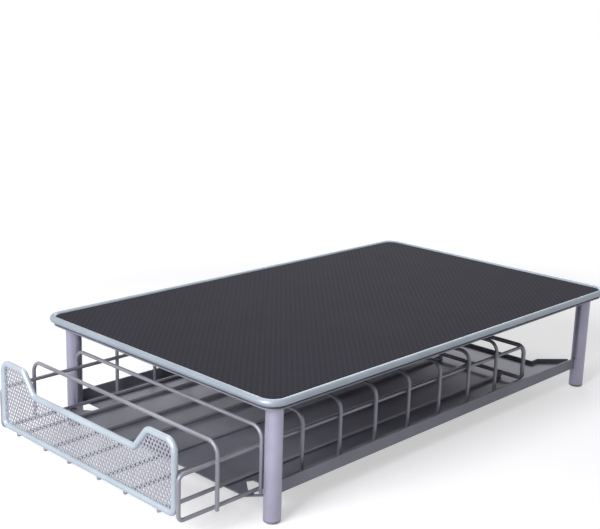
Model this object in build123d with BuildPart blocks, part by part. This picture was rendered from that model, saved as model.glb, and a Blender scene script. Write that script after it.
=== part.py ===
"""A matted steel stand with a pull-out wire drawer for coffee discs.

The stand is a sheet-metal top on four tube legs, with a sheet-metal shelf low between the legs.
The drawer is a welded wire basket with a mesh front, and it slides on that shelf.

Millimetres. +Z is up, the drawer opens towards -Y, and left and right are as seen from the front.
The origin is on the floor under the middle of the whole outline, with the drawer drawn out a
little, as it is made here.
"""

from build123d import *

import os

os.makedirs("parts", exist_ok=True)

# ---------------------------------------------------------------- driving dimensions

# the stand as a whole
stand_width = 250.0
stand_depth = 416.0
stand_height = 90.0

# the top: a rod rim round a pressed sheet pan, and the mat in it
rim_rod = 5.0
rim_corner = 11.0
top_sheet = 1.0
top_bend = 0.7
lip_drop = 2.7
lip_turnout = 1.7
mat_thickness = 1.6
mat_recess = 1.0
mat_play = 0.25
mat_edge = 0.3

# the legs and their end plugs
leg_tube = 12.0
leg_wall = 1.2
leg_inset_x = 15.2
leg_inset_y = 17.5
plug_head = 2.2
plug_rounding = 1.8
plug_stem = 10.0
plug_play = 0.1

# the shelf that the drawer slides on
base_sheet = 1.0
base_underside = 17.3
base_lip_top = 27.0
base_front_set = 4.0
base_bend = 0.9
strip_end_inset = 11.8
strip_depth = 6.6
tab_width = 4.3
tab_root = 3.0
cutout_length = 28.0
cutout_rear = 20.5
cutout_slant_x = 12.0
cutout_slant_y = 9.4
cutout_lean = 2.0
cutout_leg_margin = 1.0
stop_inset = 29.65
stop_lip_rise = 3.4
arm_reach = 30.0
arm_root = 8.7
arm_end = 12.0
arm_overlap = 1.0

# how far the drawer stands out, and how it is shaped
closed_overhang = 8.5
drawn_out = 46.0
slide_clearance = 0.3
weld_gap = 0.05

# the front of the drawer
frame_wire = 4.5
leg_clearance = 0.35
front_top = 71.0
notch_sill = 55.2
ear_width = 26.0
notch_slant = 13.0
frame_corner = 7.0
frame_foot_corner = 4.0
notch_corner = 5.0

# the expanded-metal filling
mesh_sheet = 0.9
mesh_strand = 1.3
mesh_border = 1.0
diamond_long = 9.2
diamond_short = 5.4

# the basket wires
basket_wire = 2.8
wire_end_chamfer = 0.3
rail_top = 50.3
rail_corner = 4.0
first_divider = 28.8
last_divider = 41.6
divider_count = 9
divider_top = 63.6
divider_corner = 8.5
hoop_wire = 3.6
hoop_top = 51.4
hoop_corner = 6.0
hoop_foot_corner = 3.5
lane_count = 3
lane_margin = 10.9
runner_spacing = 34.0
runner_nose = 2.0
runner_tail = 2.0

# ---------------------------------------------------------------- places worked out from them

drawer_overhang = closed_overhang + drawn_out
stand_middle = drawer_overhang / 2
stand_front = stand_middle - stand_depth / 2

rim_half_x = (stand_width - rim_rod) / 2
rim_half_y = (stand_depth - rim_rod) / 2
rim_level = stand_height - rim_rod / 2
plate_half_x = rim_half_x - rim_rod / 2 - weld_gap
plate_half_y = rim_half_y - rim_rod / 2 - weld_gap
plate_corner = rim_corner - rim_rod / 2 - weld_gap
plate_top = stand_height - mat_recess - mat_thickness
plate_underside = plate_top - top_sheet
lip_foot = rim_level - rim_rod / 2 - lip_drop

leg_x = stand_width / 2 - leg_inset_x
leg_front_y = stand_front + leg_inset_y
leg_rear_y = stand_front + stand_depth - leg_inset_y
leg_radius = leg_tube / 2
leg_reach = leg_radius + weld_gap

base_top = base_underside + base_sheet
base_half = leg_x + base_sheet / 2
base_front = stand_front + base_front_set
strip_half = leg_x - strip_end_inset

panel_y = stand_front - drawer_overhang + frame_wire / 2
runner_level = base_top + slide_clearance + basket_wire / 2
frame_bottom = runner_level + basket_wire / 2 + weld_gap + frame_wire / 2
divider_x = leg_x - leg_radius - leg_clearance - basket_wire / 2
side_x = divider_x - basket_wire - weld_gap
front_half_width = side_x - basket_wire / 2 - weld_gap - frame_wire / 2
notch_mouth = front_half_width - ear_width
notch_base = notch_mouth - notch_slant
lane_pitch = (2 * side_x - lane_margin) / lane_count
divider_foot = base_top + slide_clearance
stop_y = leg_rear_y - stop_inset
runner_rear = stop_y - slide_clearance - drawn_out
rear_hoop_y = runner_rear - runner_tail
divider_pitch = (rear_hoop_y - panel_y - first_divider - last_divider) / (divider_count - 1)
hoop_x = divider_x + basket_wire / 2 - hoop_wire / 2
hoop_bottom = runner_level + basket_wire / 2 + weld_gap + hoop_wire / 2
runner_front = panel_y - frame_wire / 2 + runner_nose

sides = {"left": -1, "right": 1}
leg_places = {
    "front_left": (-leg_x, leg_front_y),
    "front_right": (leg_x, leg_front_y),
    "rear_left": (-leg_x, leg_rear_y),
    "rear_right": (leg_x, leg_rear_y),
}


def run_wire(points, bend, thickness, close=False):
    """Add a round wire to the part being built, straight from point to point and bent between."""
    with BuildLine() as route:
        FilletPolyline(*points, radius=bend, close=close)
    with BuildSketch(Plane(origin=route.line @ 0, z_dir=route.line % 0)) as section:
        Circle(thickness / 2)
    sweep(section.sketch, path=route.line)


def keep(piece, name):
    """Label a finished piece with its name and write its file."""
    piece.part.label = name
    export_step(piece.part, f"parts/{name}.step")


# ---------------------------------------------------------------- the top

# the rim is one rod bent to a closed rounded rectangle
rim_rear = stand_middle + rim_half_y
rim_front = stand_middle - rim_half_y
with BuildPart() as top_rim:
    rim_points = [
        (-rim_half_x, rim_rear, rim_level),
        (rim_half_x, rim_rear, rim_level),
        (rim_half_x, rim_front, rim_level),
        (-rim_half_x, rim_front, rim_level),
    ]
    run_wire(rim_points, rim_corner, rim_rod, close=True)
keep(top_rim, "top_rim")

# a shallow pressed pan, open below, whose lip is turned out again at its foot
with BuildPart() as top_plate:
    with BuildSketch(Plane((0, stand_middle, lip_foot))):
        RectangleRounded(2 * plate_half_x, 2 * plate_half_y, plate_corner)
    extrude(amount=plate_top - lip_foot)
    fillet(top_plate.edges().group_by(Axis.Z)[-1], top_bend)
    offset(amount=-top_sheet, openings=top_plate.faces().sort_by(Axis.Z)[0])
    with BuildSketch(Plane((0, stand_middle, lip_foot))):
        RectangleRounded(
            2 * (plate_half_x + lip_turnout), 2 * (plate_half_y + lip_turnout), plate_corner + lip_turnout
        )
        RectangleRounded(
            2 * (plate_half_x - top_sheet), 2 * (plate_half_y - top_sheet), plate_corner - top_sheet,
            mode=Mode.SUBTRACT,
        )
    extrude(amount=top_sheet)
keep(top_plate, "top_plate")

# the mat lies loose on the pan, a little lower than the top of the rim
with BuildPart() as grip_mat:
    with BuildSketch(Plane((0, stand_middle, plate_top))):
        RectangleRounded(
            2 * (plate_half_x - mat_play), 2 * (plate_half_y - mat_play), plate_corner - mat_play
        )
    extrude(amount=mat_thickness)
    chamfer(grip_mat.edges().group_by(Axis.Z)[-1], mat_edge)
keep(grip_mat, "grip_mat")

# ---------------------------------------------------------------- legs and their end plugs

leg_top = plate_underside - weld_gap
leg_bore = leg_radius - leg_wall
for place, (x, y) in leg_places.items():
    with BuildPart() as leg:
        with BuildSketch(Plane((x, y, plug_head))):
            Circle(leg_radius)
            Circle(leg_bore, mode=Mode.SUBTRACT)
        extrude(amount=leg_top - plug_head)
    keep(leg, f"leg_{place}")

    with BuildPart() as foot:
        with BuildSketch(Plane((x, y, 0))):
            Circle(leg_radius)
        extrude(amount=plug_head)
        fillet(foot.edges().group_by(Axis.Z)[0], plug_rounding)
        with BuildSketch(Plane((x, y, plug_head))):
            Circle(leg_bore - plug_play)
        extrude(amount=plug_stem)
    keep(foot, f"foot_{place}")

# ---------------------------------------------------------------- the shelf

# the plan of its right half, from the front edge round to the notch between the two rear arms; the
# tabs at the strip's ends and the arms at the rear run up to the legs that they are welded to
base_rear = stop_y + base_sheet
arm_tip = leg_rear_y + arm_overlap
right_notch = [
    (base_half - arm_end, arm_tip),
    (base_half - arm_reach, base_rear + arm_root),
    (base_half - arm_reach, base_rear),
]
right_plan = [
    (strip_half, base_front),
    (leg_x - tab_width, leg_front_y - tab_width),
    (leg_x, leg_front_y),
    (base_half, leg_front_y),
    (base_half, leg_rear_y),
    (leg_x, arm_tip),
    *right_notch,
]
cutout_inner = base_half - cutout_length
cutout_plan = [
    (cutout_inner + cutout_lean, base_front + cutout_rear),
    (cutout_inner, base_front + strip_depth + cutout_slant_y),
    (cutout_inner + cutout_slant_x, base_front + strip_depth),
    (strip_half + tab_root, base_front + strip_depth),
    (leg_x - leg_radius, leg_front_y - tab_width / 2),
    (leg_x, leg_front_y),
    (leg_x - leg_radius + cutout_leg_margin, base_front + cutout_rear),
]
base_plan = right_plan + [(-x, y) for x, y in reversed(right_plan)]
rear_notch = right_notch + [(-x, y) for x, y in reversed(right_notch)]
base_level = base_underside + base_sheet / 2
channel = [(-leg_x, base_lip_top), (-leg_x, base_level), (leg_x, base_level), (leg_x, base_lip_top)]
with BuildPart() as base_plate:
    # the sheet is folded to a shallow channel, whose walls are the side lips
    with BuildSketch(Plane.XZ.offset(-arm_tip)):
        with BuildLine():
            FilletPolyline(*channel, radius=base_bend)
        trace(line_width=base_sheet)
    extrude(amount=arm_tip - base_front)

    # its plan, with the cut-outs beside the front legs
    with BuildSketch(Plane.XY.offset(base_underside)):
        Polygon(*base_plan)
        for side in (1, -1):
            Polygon(*[(side * x, y) for x, y in cutout_plan], mode=Mode.SUBTRACT)
    extrude(amount=base_lip_top - base_underside, mode=Mode.INTERSECT)

    # the edge round the rear notch is turned up, which stiffens the arms and stops the drawer
    with BuildSketch(Plane.XY.offset(base_underside)):
        Polygon(*rear_notch)
        offset(amount=base_sheet, kind=Kind.INTERSECTION)
        Polygon(*base_plan, mode=Mode.INTERSECT)
    extrude(amount=base_sheet + stop_lip_rise)

    # and it is cut round the four legs, which it is welded to
    with BuildSketch(Plane.XY.offset(base_underside)):
        with Locations(*leg_places.values()):
            Circle(leg_reach)
    extrude(amount=base_lip_top - base_underside, mode=Mode.SUBTRACT)
keep(base_plate, "base_plate")

# ---------------------------------------------------------------- the front of the drawer

# the notched outline is one thick wire; the low middle leaves room for the fingers
front_points = [
    (-front_half_width, frame_bottom),
    (front_half_width, frame_bottom),
    (front_half_width, front_top),
    (notch_mouth, front_top),
    (notch_base, notch_sill),
    (-notch_base, notch_sill),
    (-notch_mouth, front_top),
    (-front_half_width, front_top),
]
front_bends = [frame_foot_corner] * 2 + [frame_corner] + [notch_corner] * 4 + [frame_corner]
with BuildPart() as front_frame:
    run_wire([(x, panel_y, z) for x, z in front_points], front_bends, frame_wire, close=True)
keep(front_frame, "front_frame")

# the sheet is cut to the inside of that outline, and only whole diamonds are cut in it
mesh_inset = frame_wire / 2 + weld_gap
front_plane = Plane(origin=(0, panel_y + mesh_sheet / 2, 0), x_dir=(1, 0, 0), z_dir=(0, -1, 0))
with BuildSketch(mode=Mode.PRIVATE) as panel_outline:
    with BuildLine():
        FilletPolyline(*front_points, radius=front_bends, close=True)
    make_face()
    offset(amount=-mesh_inset)
with BuildSketch(mode=Mode.PRIVATE) as diamond_field:
    add(panel_outline.sketch)
    offset(amount=-mesh_border)

half_long = (diamond_long - mesh_strand) / 2
half_short = (diamond_short - mesh_strand * diamond_short / diamond_long) / 2
diamond = [(-half_long, 0), (0, -half_short), (half_long, 0), (0, half_short)]
panel_middle_z = (frame_bottom + notch_sill) / 2
columns = int(2 * front_half_width / diamond_long) + 1
rows = int(2 * (front_top - panel_middle_z) / diamond_short) + 1


def is_whole(x, z):
    """Say whether a diamond centred here lies wholly inside the field."""
    field = diamond_field.sketch.faces()[0]
    return all(field.is_inside((x + dx, z + dz, 0)) for dx, dz in diamond)


diamond_centres = []
for column in range(-columns, columns + 1):
    for row in range(-rows, rows + 1):
        x = column * diamond_long / 2
        z = panel_middle_z + row * diamond_short / 2
        if (column + row) % 2 == 0 and is_whole(x, z):
            diamond_centres.append((x, z))
with BuildPart() as front_mesh:
    with BuildSketch(front_plane):
        add(panel_outline.sketch)
        with Locations(*diamond_centres):
            Polygon(*diamond, mode=Mode.SUBTRACT)
    extrude(amount=mesh_sheet)
keep(front_mesh, "front_mesh")

# ---------------------------------------------------------------- the basket

# each side wire runs from the rear hoop forward as the rail, down beside the front, and back as
# the outer runner
rail_end = rear_hoop_y - hoop_wire / 2 - weld_gap
for side, sign in sides.items():
    with BuildPart() as side_wire:
        side_points = [
            (sign * side_x, rail_end, rail_top),
            (sign * side_x, panel_y, rail_top),
            (sign * side_x, panel_y, runner_level),
            (sign * side_x, runner_rear, runner_level),
        ]
        run_wire(side_points, rail_corner, basket_wire)
    keep(side_wire, f"side_wire_{side}")

# the dividers straddle the basket and part each lane into upright pockets
for number in range(divider_count):
    divider_y = panel_y + first_divider + number * divider_pitch
    with BuildPart() as divider:
        divider_points = [
            (-divider_x, divider_y, divider_foot),
            (-divider_x, divider_y, divider_top),
            (divider_x, divider_y, divider_top),
            (divider_x, divider_y, divider_foot),
        ]
        run_wire(divider_points, divider_corner, basket_wire)
    keep(divider, f"divider_{number + 1}")

with BuildPart() as rear_hoop:
    hoop_points = [
        (-hoop_x, rear_hoop_y, hoop_bottom),
        (-hoop_x, rear_hoop_y, hoop_top),
        (hoop_x, rear_hoop_y, hoop_top),
        (hoop_x, rear_hoop_y, hoop_bottom),
    ]
    hoop_bends = [hoop_foot_corner, hoop_corner, hoop_corner, hoop_foot_corner]
    run_wire(hoop_points, hoop_bends, hoop_wire, close=True)
keep(rear_hoop, "rear_hoop")

# two runners carry each lane of discs, and they slide on the shelf
lane_middles = [(lane - (lane_count - 1) / 2) * lane_pitch for lane in range(lane_count)]
runner_xs = [middle + sign * runner_spacing / 2 for middle in lane_middles for sign in sides.values()]
for number, x in enumerate(runner_xs, start=1):
    with BuildPart() as floor_wire:
        with BuildSketch(Plane(origin=(x, runner_front, runner_level), z_dir=(0, 1, 0))):
            Circle(basket_wire / 2)
        extrude(amount=runner_rear - runner_front)
        chamfer(floor_wire.edges().filter_by(GeomType.CIRCLE), wire_end_chamfer)
    keep(floor_wire, f"floor_wire_{number}")
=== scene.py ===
# %% [markdown]
# # A matted stand with a wire drawer
# The real object is a low steel stand for a worktop. Its top carries a studded mat, and a welded
# wire basket with an expanded-metal front slides out between its four legs. Nearly every part is
# steel under one silver coating, so the looks hang on three things: how that coating takes the
# light, the texture of the mat, and the fine mesh of the front.

# %% Load the fixed frame
import math

import bmesh
import bpy
from mathutils import Matrix, Vector, noise


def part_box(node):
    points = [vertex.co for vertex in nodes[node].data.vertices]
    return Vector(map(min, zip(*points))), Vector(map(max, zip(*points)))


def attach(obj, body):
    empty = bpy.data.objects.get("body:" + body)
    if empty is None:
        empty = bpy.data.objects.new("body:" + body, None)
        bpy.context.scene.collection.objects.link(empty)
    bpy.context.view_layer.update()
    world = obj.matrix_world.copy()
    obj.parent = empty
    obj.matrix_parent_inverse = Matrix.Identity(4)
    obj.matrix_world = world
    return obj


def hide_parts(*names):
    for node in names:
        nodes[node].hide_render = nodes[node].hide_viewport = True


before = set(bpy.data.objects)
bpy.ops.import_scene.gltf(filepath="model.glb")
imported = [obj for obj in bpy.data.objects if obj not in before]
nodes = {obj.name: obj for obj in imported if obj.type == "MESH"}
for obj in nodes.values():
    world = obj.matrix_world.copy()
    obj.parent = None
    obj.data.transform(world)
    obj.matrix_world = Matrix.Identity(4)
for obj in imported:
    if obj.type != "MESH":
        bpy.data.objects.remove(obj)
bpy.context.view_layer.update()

# %% [markdown]
# ## Units and small helpers
# The model is in metres and the sizes on such an object are known in millimetres, so one value
# turns one into the other. Colours are written as sRGB hex, as a paint chart gives them, and are
# turned to the linear values that a shader works with. Every material is a small tree of shader
# nodes, so one helper starts a material with an empty tree and another adds a node to a tree.

# %% Units, colours and shader nodes
MM = 0.001


def linear(hex_colour):
    """Turn an sRGB hex colour into linear red, green, blue and alpha."""
    channels = []
    for start in (0, 2, 4):
        value = int(hex_colour[start:start + 2], 16) / 255
        channels.append(value / 12.92 if value <= 0.04045 else ((value + 0.055) / 1.055) ** 2.4)
    return (*channels, 1.0)


def start_material(name):
    """Make a material whose node tree is empty, and give both."""
    material = bpy.data.materials.new(name)
    material.use_nodes = True
    material.node_tree.nodes.clear()
    return material, material.node_tree


def add_node(tree, kind, settings=None, links=None, **attributes):
    """Add a shader node, set its sockets, and link sockets of earlier nodes to it."""
    node = tree.nodes.new(kind)
    for name, value in attributes.items():
        setattr(node, name, value)
    for socket, value in (settings or {}).items():
        node.inputs[socket].default_value = value
    for socket, source in (links or {}).items():
        tree.links.new(source, node.inputs[socket])
    return node


print("linear mid grey:", [round(channel, 3) for channel in linear("808080")[:3]])

# %% [markdown]
# ## Silver powder coat on steel
# The wires, tubes and sheets are mild steel under a thin baked powder coat with aluminium flake.
# The flake gives a soft metallic sheen rather than a mirror, and the powder melts to a very fine
# orange peel. One could paint it as plain grey, but then round wires look like plastic. Here the
# base is between a fifth and a half metallic, with a noise for the flake and a coarser bump for
# the peel. Thick and thin wire, tube and sheet come out of the oven a little different, so each
# has its own shade and roughness; the sheet's darker tone is partly its own and partly painted
# shade, for the shelf lies under the top. A real flake is a twentieth of a millimetre, which no
# render at this distance can show, so flake and peel are drawn some times coarser than they are.

# %% The silver coat
PEEL_MM = 1.4
FLAKE_MM = 0.55
CLOUD_MM = 38.0
FLAKE_SHARE = 0.35
SHADE_FROM, SHADE_TO = 0.45, 0.95
ROUGHNESS_DRIFT = 0.05
PEEL_STRENGTH = 0.35


def silver_coat(name, light_hex, dark_hex, roughness, metallic, peel_depth_mm):
    """Make a silver powder coat whose shade drifts softly between two hex colours."""
    coat, tree = start_material(name)
    place = add_node(tree, "ShaderNodeTexCoord").outputs["Object"]
    cloud, flake, peel = [
        add_node(
            tree, "ShaderNodeTexNoise", {"Scale": 1 / (grain_mm * MM), "Detail": detail},
            {"Vector": place},
        ).outputs["Fac"] for grain_mm, detail in ((CLOUD_MM, 3.0), (FLAKE_MM, 1.0), (PEEL_MM, 2.0))
    ]
    mix = add_node(
        tree, "ShaderNodeMath", {1: FLAKE_SHARE}, {0: flake, 2: cloud}, operation="MULTIPLY_ADD"
    )
    shade = add_node(
        tree, "ShaderNodeMapRange", {"From Min": SHADE_FROM, "From Max": SHADE_TO},
        {"Value": mix.outputs[0]},
    )
    colour = add_node(
        tree, "ShaderNodeMix", {6: linear(dark_hex), 7: linear(light_hex)},
        {0: shade.outputs[0]}, data_type="RGBA",
    )
    rough = add_node(
        tree, "ShaderNodeMapRange",
        {"To Min": roughness - ROUGHNESS_DRIFT, "To Max": roughness + ROUGHNESS_DRIFT},
        {"Value": cloud},
    )
    bump = add_node(
        tree, "ShaderNodeBump", {"Strength": PEEL_STRENGTH, "Distance": peel_depth_mm * MM},
        {"Height": peel},
    )
    surface = add_node(
        tree, "ShaderNodeBsdfPrincipled", {"Metallic": metallic},
        {"Base Color": colour.outputs[2], "Roughness": rough.outputs[0], "Normal": bump.outputs[0]},
    )
    add_node(tree, "ShaderNodeOutputMaterial", links={"Surface": surface.outputs[0]})
    return coat


print("flake:", FLAKE_MM, "mm, peel:", PEEL_MM, "mm, clouds of shade:", CLOUD_MM, "mm")

# %% [markdown]
# The light and the dark shade of each coat are a step apart, as a coat looks where it lies thick
# or thin. The two numbers after them are its roughness and how metallic it is, and the last is
# the depth of its peel in millimetres.

# %% One coat for each kind of steel
rim_coat = silver_coat("silver_powder_coat_rim", "AAB4C0", "959FAB", 0.40, 0.4, 0.03)
tube_coat = silver_coat("silver_powder_coat_tube", "BBB9CF", "A4A2B8", 0.40, 0.45, 0.04)
# The sheet's coat is darker than the rest: partly its own tone, partly painted shade for the shelf, which
# lies in the shadow of the top.
sheet_coat_with_painted_shade = silver_coat("silver_powder_coat_sheet_painted_shade", "8F8F9D", "7A7A87", 0.46, 0.2, 0.05)
frame_coat = silver_coat("silver_powder_coat_frame_wire", "C2CDD8", "ACB6C1", 0.40, 0.35, 0.03)
wire_coat = silver_coat("silver_powder_coat_basket_wire", "A2A2AC", "888893", 0.42, 0.35, 0.03)
mesh_coat = silver_coat("silver_powder_coat_mesh", "BEBFCA", "A3A4B0", 0.42, 0.35, 0.02)
print("coats:", [material.name for material in bpy.data.materials if "coat" in material.name])

# %% [markdown]
# ## The studded mat
# The mat is a thin foamed vinyl sheet, embossed by a roller with a staggered grid of low studs, so
# that what stands on it doesn't slide. It is nearly black, and its fine pores scatter the light, so
# it stays matt even where one looks along it. Modelling thousands of studs would cost many faces
# for a height of a third of a millimetre, so two sets of waves, turned by 45 degrees as the rows of
# studs are, meet in one height that drives a bump, and the worn tops of the studs are a little
# lighter. The pores of real foam are finer than a render can show, so they are drawn coarser.

# %% The mat's sizes
STUD_ROW_MM = 3.8
STUD_HEIGHT_MM = 0.35
PORE_MM = 0.6
DUST_MM = 35.0
PORE_SHARE = 0.25
DUST_SHARE = 0.6
VINYL_SHADE_FROM, VINYL_SHADE_TO = 0.3, 1.5
WAVE_LENGTH_AT_SCALE_1 = math.tau / 20
row_scale = WAVE_LENGTH_AT_SCALE_1 / (STUD_ROW_MM * MM)
print("rows of studs every", STUD_ROW_MM, "mm, wave scale", round(row_scale, 1))

# %% The mat's vinyl
mat_vinyl, vinyl_tree = start_material("embossed_foamed_vinyl")
vinyl_place = add_node(vinyl_tree, "ShaderNodeTexCoord").outputs["Object"]
along_rows = add_node(
    vinyl_tree, "ShaderNodeMapping", {"Rotation": (0.0, 0.0, math.radians(45.0))},
    {"Vector": vinyl_place},
).outputs["Vector"]
rows_one_way, rows_other_way = [
    add_node(
        vinyl_tree, "ShaderNodeTexWave", {"Scale": row_scale}, {"Vector": along_rows},
        wave_type="BANDS", bands_direction=direction,
    ).outputs["Fac"] for direction in ("X", "Y")
]
studs = add_node(
    vinyl_tree, "ShaderNodeMath", links={0: rows_one_way, 1: rows_other_way}, operation="MULTIPLY"
)
pores, dust = [
    add_node(
        vinyl_tree, "ShaderNodeTexNoise", {"Scale": 1 / (grain_mm * MM), "Detail": detail},
        {"Vector": vinyl_place},
    ).outputs["Fac"] for grain_mm, detail in ((PORE_MM, 2.0), (DUST_MM, 4.0))
]
vinyl_height = add_node(
    vinyl_tree, "ShaderNodeMath", {1: PORE_SHARE}, {0: pores, 2: studs.outputs[0]},
    operation="MULTIPLY_ADD",
)
vinyl_shade = add_node(
    vinyl_tree, "ShaderNodeMath", {1: DUST_SHARE}, {0: dust, 2: vinyl_height.outputs[0]},
    operation="MULTIPLY_ADD",
)
vinyl_range = add_node(
    vinyl_tree, "ShaderNodeMapRange", {"From Min": VINYL_SHADE_FROM, "From Max": VINYL_SHADE_TO},
    {"Value": vinyl_shade.outputs[0]},
)
vinyl_colour = add_node(
    vinyl_tree, "ShaderNodeMix", {6: linear("18171F"), 7: linear("2D2B38")},
    {0: vinyl_range.outputs[0]}, data_type="RGBA",
)
vinyl_bump = add_node(
    vinyl_tree, "ShaderNodeBump", {"Strength": 0.4, "Distance": STUD_HEIGHT_MM * MM},
    {"Height": vinyl_height.outputs[0]},
)
vinyl_surface = add_node(
    vinyl_tree, "ShaderNodeBsdfPrincipled",
    {"Roughness": 0.85, "IOR": 1.5, "Specular IOR Level": 0.2},
    {"Base Color": vinyl_colour.outputs[2], "Normal": vinyl_bump.outputs[0]},
)
add_node(vinyl_tree, "ShaderNodeOutputMaterial", links={"Surface": vinyl_surface.outputs[0]})
print("nodes of the vinyl:", len(vinyl_tree.nodes))

# %% [markdown]
# ## The end plugs
# The plugs in the leg ends are moulded polyethylene, a grey close to that of the legs and a little
# waxy. Moulded plastic has no flake, only a faint spark-eroded grain from the steel of the mould.
# That grain is a tenth of a millimetre or less and is drawn coarser here, so that it shows.

# %% The plugs' polyethylene
GRAIN_MM = 0.5
GRAIN_DEPTH_MM = 0.03

plug_plastic, plug_tree = start_material("moulded_polyethylene")
plug_place = add_node(plug_tree, "ShaderNodeTexCoord").outputs["Object"]
grain = add_node(
    plug_tree, "ShaderNodeTexNoise", {"Scale": 1 / (GRAIN_MM * MM), "Detail": 2.0},
    {"Vector": plug_place},
).outputs["Fac"]
plug_colour = add_node(
    plug_tree, "ShaderNodeMix", {6: linear("84828F"), 7: linear("93919F")}, {0: grain},
    data_type="RGBA",
)
plug_bump = add_node(
    plug_tree, "ShaderNodeBump", {"Strength": 0.3, "Distance": GRAIN_DEPTH_MM * MM},
    {"Height": grain},
)
plug_surface = add_node(
    plug_tree, "ShaderNodeBsdfPrincipled", {"Roughness": 0.55, "IOR": 1.51},
    {"Base Color": plug_colour.outputs[2], "Normal": plug_bump.outputs[0]},
)
add_node(plug_tree, "ShaderNodeOutputMaterial", links={"Surface": plug_surface.outputs[0]})
print("plug grain:", GRAIN_MM, "mm")

# %% [markdown]
# ## Dress the CAD nodes
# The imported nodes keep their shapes. Each one only swaps the plain material of its slot for the
# finish of the real piece.

# %% Finish for each node
finish_of = {
    "top_rim": rim_coat,
    # The top and the shelf take the sheet coat, whose darker tone is partly painted shade.
    "top_plate": sheet_coat_with_painted_shade,
    "base_plate": sheet_coat_with_painted_shade,
    "grip_mat": mat_vinyl,
    "front_frame": frame_coat,
    "front_mesh": mesh_coat,
}
for name, node in nodes.items():
    finish = finish_of.get(name, wire_coat)
    if name.startswith("leg_"):
        finish = tube_coat
    if name.startswith("foot_"):
        finish = plug_plastic
    for slot in node.material_slots:
        slot.material = finish
print("dressed", len(nodes), "nodes")

# %% [markdown]
# ## The expanded-metal front
# Expanded metal is a sheet that is slit and pulled, so that the slits open into diamonds while the
# strands stay one piece. The solid model has coarse diamonds for the sake of its face count, and
# this piece stands for it with the fine, upright ones of the real sheet. A picture of a mesh on a
# plane would look flat from the side and cast no shadow, so the strands are built: a lattice of
# diamonds is laid out, each diamond gets a smaller one as its opening, and what lies between the
# two is strand. The strands of the real sheet are twisted as it is pulled, so that one edge stands
# forward, and that is why such a mesh glitters.

# %% Where the panel is
panel_low, panel_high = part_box("front_mesh")
frame_low, frame_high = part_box("front_frame")
frame_wire_radius = (frame_high[1] - frame_low[1]) / 2
panel_y = (panel_low[1] + panel_high[1]) / 2
outline_half = frame_high[0] - frame_wire_radius
outline_low = frame_low[2] + frame_wire_radius
outline_high = frame_high[2] - frame_wire_radius
print("panel:", [round((panel_high[i] - panel_low[i]) / MM, 1) for i in range(3)], "mm")

# %% [markdown]
# The sheet is cut along the frame, whose top is low in the middle for the fingers. The limits are
# straight lines along the centre of the wire, so the cut edge is hidden in the wire, as the edge
# of the real sheet is hidden in its weld. A line is kept here as a point on it and the direction
# that points into the sheet. The rounded top corners of the frame are followed by a short line
# across each.

# %% The lines that the sheet is cut along
EAR = 26.0 * MM
SLANT = 13.0 * MM
SILL = 55.2 * MM
TOP_CORNER = 7.0 * MM
notch_mouth = outline_half - EAR
notch_base = notch_mouth - SLANT
slant_drop = outline_high - SILL
corner_cut = TOP_CORNER * (1 - math.sqrt(0.5))


def limits_at(x):
    """List the cutting lines for the part of the sheet round a place across the front."""
    lines = [
        ((0.0, outline_low), (0.0, 1.0)),
        ((0.0, outline_high), (0.0, -1.0)),
        ((outline_half, 0.0), (-1.0, 0.0)),
        ((-outline_half, 0.0), (1.0, 0.0)),
        ((outline_half - corner_cut, outline_high - corner_cut), (-1.0, -1.0)),
        ((corner_cut - outline_half, outline_high - corner_cut), (1.0, -1.0)),
    ]
    if abs(x) < notch_base:
        lines.append(((0.0, SILL), (0.0, -1.0)))
    elif abs(x) < notch_mouth:
        side = math.copysign(1.0, x)
        lines.append(((side * notch_base, SILL), (side * slant_drop, -SLANT)))
    return lines


print("notch:", round(2 * notch_mouth / MM), "mm wide at its mouth")

# %% Cut a flat polygon along a line


def cut_along(corners, point, inward):
    """Keep the part of a flat polygon that lies on the inner side of a line."""
    kept = []
    depths = [(c[0] - point[0]) * inward[0] + (c[2] - point[1]) * inward[1] for c in corners]
    for i, (corner, depth) in enumerate(zip(corners, depths)):
        before, depth_before = corners[i - 1], depths[i - 1]
        if (depth >= 0) != (depth_before >= 0):
            share = depth_before / (depth_before - depth)
            kept.append(tuple(b + share * (c - b) for b, c in zip(before, corner)))
        if depth >= 0:
            kept.append(corner)
    return kept


square = [(0.0, 0.0, 0.0), (2.0, 0.0, 0.0), (2.0, 0.0, 2.0), (0.0, 0.0, 2.0)]
print("half a square:", cut_along(square, (1.0, 0.0), (1.0, 0.0)))

# %% [markdown]
# The diamonds of the real sheet measure about three by five and a half millimetres, and a little
# over a third of the sheet is open. Every second place of a grid of half diamonds holds one.

# %% The strands
DIAMOND_WIDTH = 3.1 * MM
DIAMOND_HEIGHT = 5.6 * MM
STRAND = 1.05 * MM
TWIST = 0.22 * MM
SHEET = 0.5 * MM
MERGE_WITHIN = 0.02 * MM

half_wide, half_high = DIAMOND_WIDTH / 2, DIAMOND_HEIGHT / 2
reach = half_wide * half_high / math.hypot(half_wide, half_high)
opening = 1 - STRAND / 2 / reach
columns = int(outline_half / half_wide) + 1
rows = int((outline_high - outline_low) / half_high) + 1
diamond = [(-half_wide, 0, -TWIST), (0, -half_high, 0), (half_wide, 0, TWIST), (0, half_high, 0)]
net = bmesh.new()
for column in range(-columns, columns + 1):
    for row in range(rows + 1):
        if (column + row) % 2:
            continue
        x, z = column * half_wide, outline_low + row * half_high
        outer = [(x + dx, panel_y, z + dz) for dx, dz, _ in diamond]
        inner = [(x + opening * dx, panel_y + twist, z + opening * dz) for dx, dz, twist in diamond]
        for i in range(4):
            strand = [outer[i - 1], outer[i], inner[i], inner[i - 1]]
            for point, inward in limits_at(x):
                strand = cut_along(strand, point, inward)
            if len(strand) > 2:
                net.faces.new([net.verts.new(corner) for corner in strand])
bmesh.ops.remove_doubles(net, verts=net.verts, dist=MERGE_WITHIN)
bmesh.ops.recalc_face_normals(net, faces=net.faces)
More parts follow.
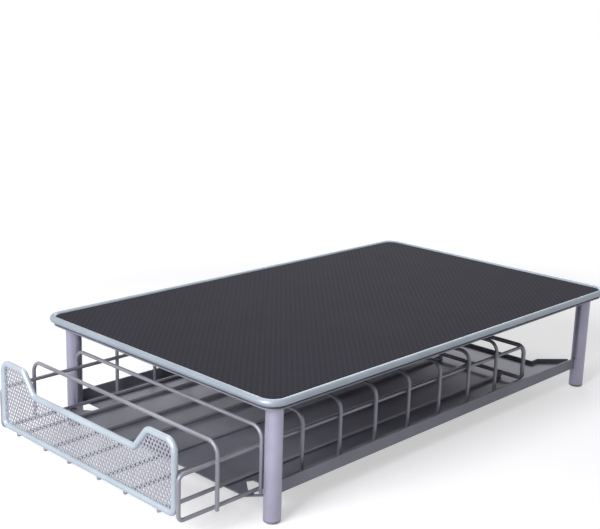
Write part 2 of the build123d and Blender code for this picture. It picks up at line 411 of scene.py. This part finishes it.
print("strand pieces:", len(net.faces), "open share:", round(opening ** 2, 2))

# %% [markdown]
# The lattice is still a flat surface. A modifier gives it the thickness of the sheet, half to each
# side, which is quicker than building the back and the edges by hand.

# %% Thicken the sheet and set it in the frame
strand_mesh = bpy.data.meshes.new("expanded_front")
net.to_mesh(strand_mesh)
net.free()
expanded_front = bpy.data.objects.new("expanded_front", strand_mesh)
bpy.context.scene.collection.objects.link(expanded_front)
thicken = expanded_front.modifiers.new("thicken", "SOLIDIFY")
thicken.thickness = SHEET
thicken.offset = 0.0
expanded_front.data.materials.append(mesh_coat)
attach(expanded_front, "drawer")
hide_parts("front_mesh")
print("strand faces:", len(strand_mesh.polygons))

# %% [markdown]
# ## Spot welds of the basket
# Every crossing of the basket is a resistance weld: two wires are pressed together while a current
# melts them, and a little metal is squeezed out and freezes as a low, uneven lump under the coat.
# The solid wires end a hair apart, so the lumps are added here to bridge them. Each one is a small
# ball of triangles whose corners are pushed in and out by a noise, then flattened to the length and
# height of a real nugget. The noise is read at the lump's own place, so no two are alike and every run is
# the same.

# %% A lump of squeezed-out metal
NUGGET_NOISE = 0.22
NOISE_BUMPS = 1.7
NOISE_SPREAD = 900


def add_lump(lumps, middle, half_sizes):
    """Add an uneven lump to a mesh, with its middle and its three half sizes given."""
    ball = bmesh.ops.create_icosphere(lumps, subdivisions=2, radius=1.0)
    for corner in ball["verts"]:
        swing = noise.noise(corner.co * NOISE_BUMPS + Vector(middle) * NOISE_SPREAD)
        swell = 1.0 + NUGGET_NOISE * swing
        corner.co = Vector(m + swell * half * c for m, half, c in zip(middle, half_sizes, corner.co))


def keep_lumps(lumps, name, coat, body):
    """Make an object of a mesh of lumps, smooth it, and let it ride on its body."""
    lump_mesh = bpy.data.meshes.new(name)
    lumps.to_mesh(lump_mesh)
    lumps.free()
    lump_mesh.polygons.foreach_set("use_smooth", [True] * len(lump_mesh.polygons))
    lump_mesh.materials.append(coat)
    piece = bpy.data.objects.new(name, lump_mesh)
    bpy.context.scene.collection.objects.link(piece)
    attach(piece, body)
    print(name, "triangles:", len(lump_mesh.polygons))


print("swell of a nugget: up to", NUGGET_NOISE)

# %% [markdown]
# The places come from the boxes of the solid wires, so a lump can't miss its crossing. A nugget is
# long where two wires run side by side for a way, and low where one presses on the other.

# %% Half sizes of the nuggets, across, along and up, in millimetres
ON_RAIL = (0.55, 1.35, 1.15)
ON_FRAME = (1.3, 1.5, 0.6)
ON_HOOP = (1.2, 1.5, 0.55)
RAIL_END = (1.5, 0.7, 1.5)
ON_UPRIGHT = (0.6, 1.4, 2.2)
UPRIGHT_WELDS = (0.25, 0.75)
FRAME_SET_BACK = 0.9 * MM
WIRE = 2.8 * MM
print("largest nugget:", 2 * max(ON_UPRIGHT), "mm")

# %% Where the wires cross
rail_low, rail_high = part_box("side_wire_right")
hoop_low, hoop_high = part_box("rear_hoop")
divider_names = [name for name in nodes if name.startswith("divider_")]
runner_names = [name for name in nodes if name.startswith("floor_wire_")]
touch_x = rail_high[0]
rail_z = rail_high[2] - WIRE / 2
runner_z = rail_low[2] + WIRE / 2
crossings = []
for name in divider_names:
    divider_low, divider_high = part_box(name)
    divider_y = (divider_low[1] + divider_high[1]) / 2
    for side in (-1, 1):
        for z in (rail_z, runner_z):
            crossings.append(((side * touch_x, divider_y, z), ON_RAIL))
for name in runner_names:
    runner_low, runner_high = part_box(name)
    runner_x = (runner_low[0] + runner_high[0]) / 2
    hoop_y = (hoop_low[1] + hoop_high[1]) / 2
    crossings.append(((runner_x, panel_y + FRAME_SET_BACK, runner_high[2]), ON_FRAME))
    crossings.append(((runner_x, hoop_y, runner_high[2]), ON_HOOP))
for side in (-1, 1):
    crossings.append(((side * (touch_x - WIRE / 2), hoop_low[1], rail_z), RAIL_END))
    for height in UPRIGHT_WELDS:
        z = runner_z + height * (rail_z - runner_z)
        crossings.append(((side * (touch_x - WIRE), panel_y, z), ON_UPRIGHT))
print("crossings:", len(crossings))

# %% The basket's welds
basket_lumps = bmesh.new()
for place, half_sizes in crossings:
    add_lump(basket_lumps, place, [half * MM for half in half_sizes])
keep_lumps(basket_lumps, "basket_welds", wire_coat, "drawer")

# %% [markdown]
# ## Seam welds of the stand
# The legs are joined to the shelf's lips and to the underside of the top by short seams of wire
# welding. Such a seam is a row of overlapping scales, one for each drop of metal, so it is built as
# a row of the same lumps, set closer together than they are wide. The seam at the top runs round
# the inner side of the leg.

# %% Sizes of the seams
SCALE_STEP = 1.2 * MM
SEAM_SCALE = (0.8 * MM, 0.9 * MM, 0.85 * MM)
SEAM_FOOT = 1.4 * MM
SEAM_SPARE = 2 * MM
SEAM_OUTWARD = 0.7 * MM
SEAM_PROUD = 0.2 * MM
RING_SCALE = (0.9 * MM, 0.9 * MM, 0.7 * MM)
RING_SCALES = 22
RING_STEP_DEGREES = 10
RING_START_DEGREES = {"front": -20, "rear": 160}
RING_BELOW = 0.3 * MM
print("ring seam:", RING_SCALES * RING_STEP_DEGREES, "degrees round the leg")

# %% The stand's welds
shelf_low, shelf_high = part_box("base_plate")
stand_lumps = bmesh.new()
for name in [name for name in nodes if name.startswith("leg_")]:
    leg_low, leg_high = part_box(name)
    leg_x, leg_y = [(leg_low[i] + leg_high[i]) / 2 for i in (0, 1)]
    leg_radius = (leg_high[0] - leg_low[0]) / 2
    end = "front" if name.startswith("leg_front") else "rear"
    inward_y = 1 if end == "front" else -1
    outward_x = math.copysign(1.0, leg_x)
    for i in range(int((shelf_high[2] - shelf_low[2] - SEAM_SPARE) / SCALE_STEP)):
        place = (
            leg_x + outward_x * SEAM_OUTWARD,
            leg_y + inward_y * (leg_radius + SEAM_PROUD),
            shelf_low[2] + SEAM_FOOT + i * SCALE_STEP,
        )
        add_lump(stand_lumps, place, SEAM_SCALE)
    for i in range(RING_SCALES):
        turn = math.radians(i * RING_STEP_DEGREES + RING_START_DEGREES[end])
        place = (
            leg_x + leg_radius * math.cos(turn),
            leg_y + leg_radius * math.sin(turn),
            leg_high[2] - RING_BELOW,
        )
        add_lump(stand_lumps, place, RING_SCALE)
keep_lumps(stand_lumps, "stand_welds", tube_coat, "stand")

# %% [markdown]
# ## What the camera sees of the surroundings
# The floor and the world show brighter than they light the object, so that the picture has a white
# ground while the lamps and a faint fill shape the object. A Light Path node tells which kind of ray has
# arrived. Reflections and views through glass count as seen, or metal would mirror a dark room.

# %% Which rays see the surroundings


def seen_directly(tree):
    """Give 1 for a ray from the camera, a reflection or a view through glass, and 0 for others."""
    rays = add_node(tree, "ShaderNodeLightPath").outputs
    camera_or_glossy = add_node(
        tree, "ShaderNodeMath", links={0: rays["Is Camera Ray"], 1: rays["Is Glossy Ray"]},
        operation="MAXIMUM",
    )
    return add_node(
        tree, "ShaderNodeMath",
        links={0: camera_or_glossy.outputs[0], 1: rays["Is Transmission Ray"]},
        operation="MAXIMUM",
    ).outputs[0]


WHITE = (1.0, 1.0, 1.0, 1.0)
print("ground colour:", WHITE[:3])

# %% [markdown]
# ## Floor and backdrop
# The object stands on a plain pale floor. The floor is a pale surface that also glows a little
# for the camera, so that it stays white in the picture while the object's own shadow still darkens
# it. Far from the object the glow rises to full white, and the floor runs into the background.

# %% The floor's material
GLOW_NEAR, GLOW_FAR = 0.52, 1.0
NEAR_REACH, FAR_REACH = 0.45, 1.3
FLOOR_PATCHES_PER_METRE = 9.0

floor_white, floor_tree = start_material("white_floor")
floor_place = add_node(floor_tree, "ShaderNodeTexCoord").outputs["Object"]
floor_grain = add_node(
    floor_tree, "ShaderNodeTexNoise", {"Scale": FLOOR_PATCHES_PER_METRE, "Detail": 2.0},
    {"Vector": floor_place},
)
floor_colour = add_node(
    floor_tree, "ShaderNodeMix", {6: linear("C6C6C9"), 7: linear("CCCCCF")},
    {0: floor_grain.outputs["Fac"]}, data_type="RGBA",
)
floor_diffuse = add_node(
    floor_tree, "ShaderNodeBsdfDiffuse", {"Roughness": 0.5}, {"Color": floor_colour.outputs[2]}
)
floor_reach = add_node(
    floor_tree, "ShaderNodeVectorMath", links={0: floor_place}, operation="LENGTH"
)
floor_strength = add_node(
    floor_tree, "ShaderNodeMapRange",
    {"From Min": NEAR_REACH, "From Max": FAR_REACH, "To Min": GLOW_NEAR, "To Max": GLOW_FAR},
    {"Value": floor_reach.outputs["Value"]},
)
floor_glow = add_node(
    floor_tree, "ShaderNodeEmission", {"Color": WHITE}, {"Strength": floor_strength.outputs[0]}
)
floor_dark = add_node(floor_tree, "ShaderNodeEmission", {"Strength": 0.0})
floor_seen_glow = add_node(
    floor_tree, "ShaderNodeMixShader",
    links={0: seen_directly(floor_tree), 1: floor_dark.outputs[0], 2: floor_glow.outputs[0]},
)
floor_sum = add_node(
    floor_tree, "ShaderNodeAddShader",
    links={0: floor_diffuse.outputs[0], 1: floor_seen_glow.outputs[0]},
)
add_node(floor_tree, "ShaderNodeOutputMaterial", links={"Surface": floor_sum.outputs[0]})
print("glow:", GLOW_NEAR, "near the object,", GLOW_FAR, "from", FAR_REACH, "m on")

# %% Lay the floor
FLOOR_SIZE = 16.0
FLOOR_GAP = 0.2 * MM

bpy.ops.mesh.primitive_plane_add(size=FLOOR_SIZE, location=(0.0, 0.0, -FLOOR_GAP))
floor = bpy.context.active_object
floor.name = "floor"
floor.data.materials.append(floor_white)
print("floor:", floor.name)

# %% [markdown]
# ## Light
# The light is a plain studio set: a soft key from the front, which is where the brightest faces of
# the object look, a weaker lamp from above, a third from behind so that the rear isn't left dark,
# and a pale world that fills the shadows. The world shows as white to the camera and in
# reflections, but lights the object less.

# %% The world
WORLD_FILL, WORLD_SEEN = 0.12, 1.0

world = bpy.data.worlds.new("pale_studio")
bpy.context.scene.world = world
world.use_nodes = True
world_tree = world.node_tree
world_tree.nodes.clear()
world_strength = add_node(
    world_tree, "ShaderNodeMapRange", {"To Min": WORLD_FILL, "To Max": WORLD_SEEN},
    {"Value": seen_directly(world_tree)},
)
sky = add_node(
    world_tree, "ShaderNodeBackground", {"Color": WHITE}, {"Strength": world_strength.outputs[0]}
)
add_node(world_tree, "ShaderNodeOutputWorld", links={"Surface": sky.outputs[0]})
print("world:", WORLD_FILL, "as light,", WORLD_SEEN, "where it is seen")

# %% The lamps


def softbox(name, place, target, width, height, power):
    """Hang a rectangular soft lamp at a place, facing a target."""
    lamp = bpy.data.lights.new(name, "AREA")
    lamp.shape = "RECTANGLE"
    lamp.size = width
    lamp.size_y = height
    lamp.energy = power
    hung = bpy.data.objects.new(name, lamp)
    hung.location = place
    hung.rotation_euler = (Vector(target) - Vector(place)).to_track_quat("-Z", "Y").to_euler()
    bpy.context.scene.collection.objects.link(hung)


middle = (0.0, 0.0, 0.05)
softbox("key", (0.16, -0.98, 0.55), (0.0, -0.05, 0.05), 0.5, 0.45, 10.5)
softbox("top", (-0.25, -0.1, 1.4), middle, 1.0, 1.0, 5.0)
softbox("back", (-0.75, 0.95, 0.75), middle, 0.8, 0.6, 4.5)

# %% [markdown]
# ## The camera
# The camera looks from the place that the photograph was taken from. That place, the turn and the
# slight tilt were worked out from the edges of the stand, and they are written here as lengths and
# angles. The focal length is in pixels of a picture 600 wide, and is turned to a lens in millimetres.

# %% Camera
CAMERA_PLACE = (0.564145, -0.620584, 0.333933)
AZIMUTH = math.radians(43.645)
ELEVATION = math.radians(14.064)
ROLL = math.radians(1.779)
FOCAL_PX = 1086.987
IMAGE_PX = 600

camera_data = bpy.data.cameras.new("photo_camera")
camera_data.sensor_width = 36.0
camera_data.lens = camera_data.sensor_width * FOCAL_PX / IMAGE_PX
camera_data.clip_start = 0.01
camera = bpy.data.objects.new("photo_camera", camera_data)
bpy.context.scene.collection.objects.link(camera)
level = math.cos(ELEVATION)
back = Vector((math.sin(AZIMUTH) * level, -math.cos(AZIMUTH) * level, math.sin(ELEVATION)))
level_right = (-back).cross(Vector((0.0, 0.0, 1.0))).normalized()
level_up = level_right.cross(-back)
right = math.cos(ROLL) * level_right + math.sin(ROLL) * level_up
up = -math.sin(ROLL) * level_right + math.cos(ROLL) * level_up
camera.matrix_world = Matrix.Translation(CAMERA_PLACE) @ Matrix((
    (right.x, up.x, back.x, 0.0),
    (right.y, up.y, back.y, 0.0),
    (right.z, up.z, back.z, 0.0),
    (0.0, 0.0, 0.0, 1.0),
))
bpy.context.scene.camera = camera
bpy.context.scene.view_settings.view_transform = "Standard"
print("lens:", round(camera_data.lens, 2), "mm")
